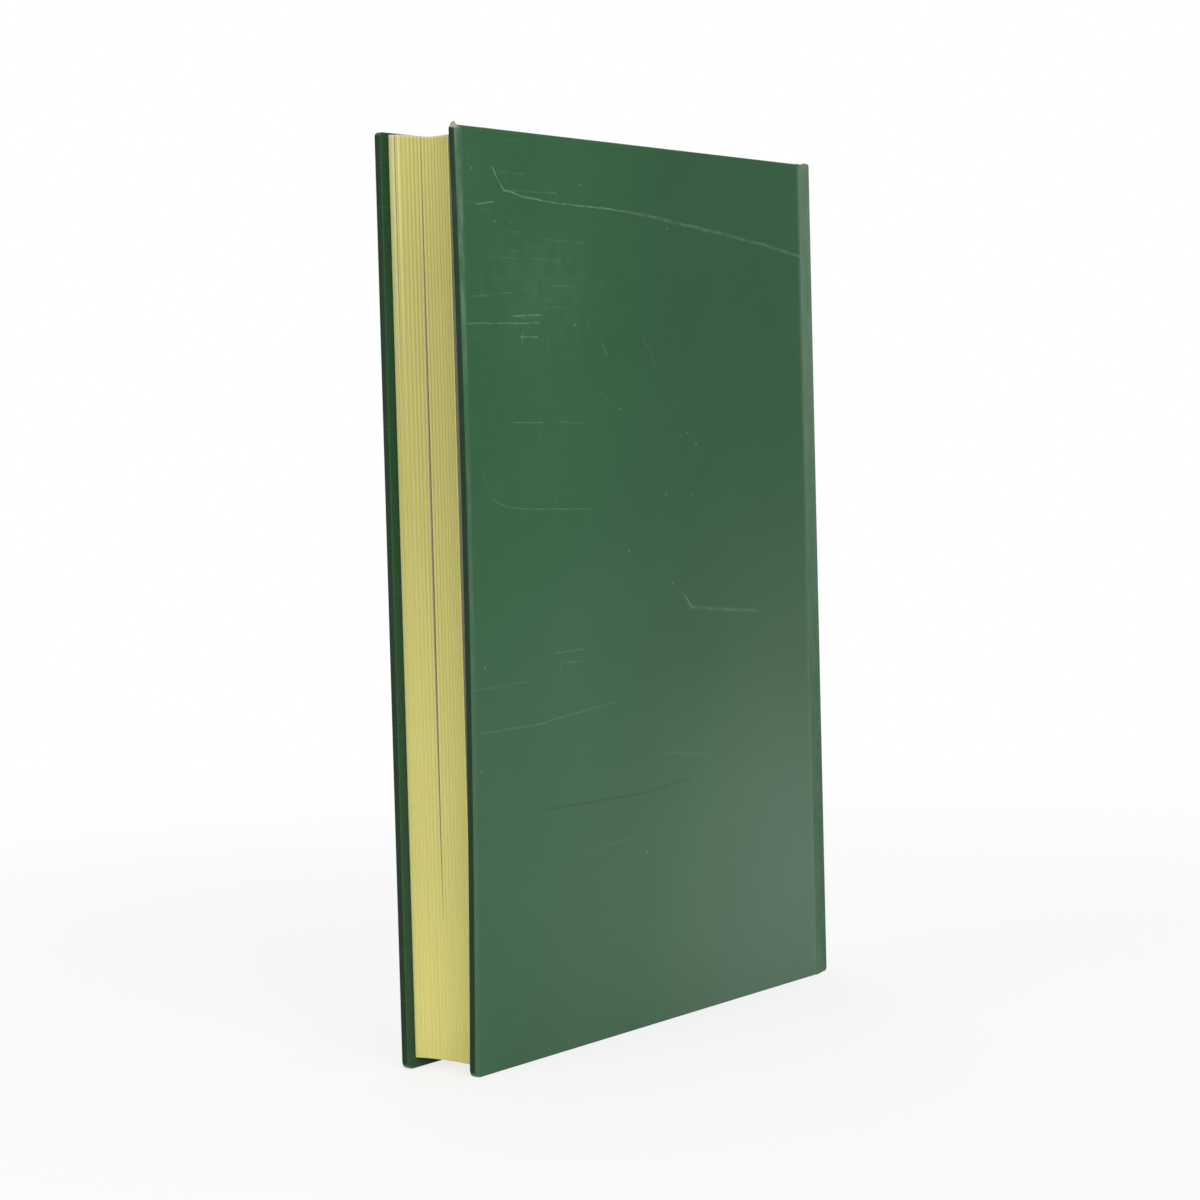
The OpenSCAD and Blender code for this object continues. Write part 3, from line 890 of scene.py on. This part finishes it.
def arc(centre, radius, start, end, count):
    """Points on an arc, with the angles in radians."""
    return [centre + radius * Vector((cos(a), sin(a))) for a in steps(start, end, count)]


def on_back(radius, angle):
    """Point on a circle round the middle of the rounded back, at an angle towards the back cover."""
    return Vector((BACK_X - radius * cos(angle), radius * sin(angle)))


def joint_profile():
    """Outside of the cloth from inside the edge of a cover, down the groove and up to the shoulder."""
    wall_r, foot_r, tuck = 0.8 * MM, 1.0 * MM, 0.08 * MM
    centre = on_back(SPINE_R - SHOULDER_R, FOLD_ANGLE)
    high = centre + SHOULDER_R * Vector((sin(SHOULDER_SLOPE), cos(SHOULDER_SLOPE)))
    foot_x = high.x + (high.y - GROOVE) / tan(SHOULDER_SLOPE)
    floor_end = foot_x + foot_r * tan(SHOULDER_SLOPE / 2)
    points = [Vector((tuck, GROOVE + 2 * wall_r)), Vector((tuck / 2, GROOVE + 1.3 * wall_r))]
    points += arc(Vector((-wall_r, GROOVE + wall_r)), wall_r, 0, -pi / 2, 8)
    points += [Vector((x, GROOVE)) for x in steps(-wall_r, floor_end, 26)[1:-1]]
    points += arc(Vector((floor_end, GROOVE + foot_r)), foot_r, -pi / 2, -pi / 2 - SHOULDER_SLOPE, 6)
    return points


def spine_profile():
    """The same, carried on round the spine to the front shoulder."""
    start = joint_profile()
    shoulder = arc(
        on_back(SPINE_R - SHOULDER_R, FOLD_ANGLE), SHOULDER_R, pi / 2 - SHOULDER_SLOPE, pi - FOLD_ANGLE, 9
    )
    half = start + shoulder
    round_back = [on_back(SPINE_R, a) for a in steps(FOLD_ANGLE, -FOLD_ANGLE, 36)[1:-1]]
    far_side = [Vector((p.x, -p.y)) for p in reversed(start[-1:] + shoulder)]
    return half + round_back + far_side


def outwards(points):
    """Outward direction at each point of a profile."""
    found = []
    for before, after in zip(points[:1] + points[:-1], points[1:] + points[-1:]):
        run = (after - before).normalized()
        found.append(Vector((run.y, -run.x)))
    return found


def strip_rows():
    """Rows of the covering strip: in at the tail, round the tail edge, up the outside and in at the head.

    Each row is (depth as a share of the wall, 0 for the tail or 1 for the head, height from that end, and the
    share of the roll that is added to the height).
    """
    roll = [((1 - cos(a)) / 2, (1 - sin(a)) / 2) for a in steps(0, pi, 8)]
    edge_room = 2 * MM
    inside = [TURN_IN, 11 * MM, 7 * MM, 4 * MM, edge_room]
    tail = [(1, 0, h, 0) for h in inside]
    tail += [(depth, 0, 0, share) for depth, share in reversed(roll)]
    outside = [(0, 0, z, 0) for z in steps(edge_room, COVER_H - edge_room, STRIP_ROWS)]
    head = [(depth, 1, 0, -share) for depth, share in roll]
    head += [(1, 1, -h, 0) for h in reversed(inside)]
    return tail + outside + head


def covering_strip(profile, name, finish, mirrored):
    """Cloth along a profile, turned in over the spine card and in the joints at head and tail."""
    outward = outwards(profile)
    columns = list(range(len(profile)))

    def place(column, row):
        depth, end, height, share = row
        point = profile[column]
        to_spine = smooth((-point.x - CARD_FROM) / CARD_CHANGE)
        wall = JOINT_WALL + (SPINE_WALL - JOINT_WALL) * to_spine
        top = COVER_H + (SPINE_H - COVER_H) * smooth((-point.x - RISE_FROM) / RISE_CHANGE)
        inner = point - outward[column] * wall * depth
        roll = max(wall, ROLL_HEAD * to_spine if end else ROLL_TAIL * to_spine)
        z = end * top + height + share * roll
        in_joint = smooth(-point.x / FILL_BEGINS) * smooth((point.x + JOINT_W - SHOULDER_R) / FILL_STOPS)
        fill = in_joint * (1 - smooth(min(z, top - z) / FILL_REACH))
        level = FACE + (SHOULDER_Y - FACE) * smooth(-point.x / (JOINT_W - SHOULDER_R))
        raised = max(0, level - abs(point.y)) * fill
        return Vector((inner.x, inner.y + copysign(raised, point.y), z))

    bm = map_grid(columns, strip_rows(), place)
    if mirrored:
        to_front(bm)
    return add_piece(name, bm, finish, CLOTH_T)


def sheet_columns(start, end, extra):
    """Columns of a sheet across the joint and over the board, with extra ones on the board."""
    bend = steps(start, 0, BEND_COLUMNS)
    flat = steps(0, end, FLAT_COLUMNS)[1:]
    return sorted(set(bend + flat + [x for x in extra if 0 < x < end]))


def paste_sheet(name, finish, warped):
    """Endpaper half on the board, sunk a little where neither cloth nor gauze lies under it."""
    start, end = paste_lo.x - ORIGIN.x, paste_hi.x - ORIGIN.x
    inner = ORIGIN.y - paste_hi.y
    sink_x0, sink_x1 = gauze_hi.x - ORIGIN.x + PAPER_T, COVER_W - TURN_IN - PAPER_T
    sink_z0, sink_z1 = TURN_IN + PAPER_T, COVER_H - TURN_IN - PAPER_T
    slope = (0, 0.25 * MM, 0.5 * MM, 0.8 * MM)
    columns = sheet_columns(start, end, [sink_x0 + d for d in slope] + [sink_x1 - d for d in slope])
    sink_rows = [sink_z0 + d for d in slope] + [sink_z1 - d for d in slope]
    rows = sorted(steps(paste_lo.z, paste_hi.z, SHEET_ROWS) + sink_rows)

    def place(x, z):
        inside = min(x - sink_x0, sink_x1 - x, z - sink_z0, sink_z1 - z)
        y = inner + CLOTH_T * smooth(inside / slope[-1])
        return Vector((x, y + (lift(x, z) if warped else 0), z))

    bm = map_grid(columns, rows, place)
    if not warped:
        to_front(bm)
    return add_piece(name, bm, finish, PAPER_T)


def gauze_flap(name, finish, warped):
    start, end = paste_lo.x - ORIGIN.x, gauze_hi.x - ORIGIN.x

    def place(x, z):
        return Vector((x, TURN_Y + (lift(x, z) if warped else 0), z))

    bm = map_grid(sheet_columns(start, end, []), steps(gauze_lo.z, gauze_hi.z, GAUZE_ROWS), place)
    if not warped:
        to_front(bm)
    return add_piece(name, bm, finish, GAUZE_T)


def worn_tip(name, finish):
    """Frayed board fibres that stand out of the worn head corner of the back cover."""
    bm = bmesh.new()
    bmesh.ops.create_icosphere(bm, subdivisions=4, radius=1)
    for v in bm.verts:
        ripple = 0.12 * sin(9 * v.co.x + 4 * v.co.z) + 0.10 * sin(11 * v.co.y - 5 * v.co.z)
        peak = max(0, v.co.z) ** 2
        v.co = v.co * (1 + ripple) * (1 - 0.45 * peak) + Vector((0, 0, 0.75 * peak))
    bmesh.ops.scale(bm, vec=TIP_SIZE, verts=bm.verts)
    corner = Vector((COVER_W - TIP_IN, (BOARD_IN + BOARD_OUT) / 2 + LIFT_HEAD, COVER_H - TIP_DOWN))
    bmesh.ops.translate(bm, vec=corner, verts=bm.verts)
    return add_piece(name, bm, finish)


def across_joint(piece, cover, side):
    """Bakes a sheet's place into its mesh; the ends of its bend between the pages and a cover are worked out
    but not used. The side is 1 for the back and -1 for the front.
    """
    y = ORIGIN.y + side * FACE
    ends = [("book_block", (ORIGIN.x + BEND_FROM, y, 0)), (cover, (ORIGIN.x + BEND_TO, y, 0))]
    (first, start), (second, end) = ends[::side]
    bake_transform(piece)
    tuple(start)
    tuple(end)


def set_finish(node, finish):
    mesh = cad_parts[node].data
    mesh.materials.clear()
    mesh.materials.append(finish)


add_camera()

paper_finish = paper("endpaper", False)
board_finish = grey_board()
gauze_finish = gauze()
card_finish = brown_card()
band_finish = headband()
back_finish = book_cloth("book_cloth_marked", True)
front_finish = book_cloth("book_cloth_plain", False)

set_finish("text_block", page_edges())
set_finish("mull", gauze_finish)
set_finish("back_lining", card_finish)
set_finish("spine_inlay", card_finish)
for band in ("head_band", "tail_band"):
    set_finish(band, band_finish)
leaf_finish = paper("flyleaf", True)
for side in ("front", "back"):
    set_finish(side + "_flyleaf", leaf_finish)

for side, sign, cloth_finish in (("front", -1, front_finish), ("back", 1, back_finish)):
    body = side + "_cover"
    warped = sign > 0

    cloth = cover_cloth(side + "_cover_cloth", cloth_finish, warped)
    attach(cloth, body)
    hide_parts(side + "_cloth")

    card = board_card(side + "_cover_board", board_finish, warped)
    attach(card, body)
    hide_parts(side + "_board")

    sheet = paste_sheet(side + "_endpaper", paper_finish, warped)
    across_joint(sheet, body, sign)
    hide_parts(side + "_pastedown")

    flap = gauze_flap(side + "_gauze", gauze_finish, warped)
    across_joint(flap, body, sign)
    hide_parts(side + "_mull_flap")

spine = covering_strip(spine_profile(), "spine_and_back_joint_cloth", back_finish, False)
across_joint(spine, "back_cover", 1)
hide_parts("spine_cloth")

joint = covering_strip(joint_profile(), "front_joint_cloth", front_finish, True)
across_joint(joint, "front_cover", -1)

tip = worn_tip("worn_corner", worn_fibre())
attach(tip, "back_cover")

add_floor()
add_world()
for lamp in LAMPS:
    add_lamp(*lamp)

bpy.context.scene.view_settings.view_transform = "Standard"
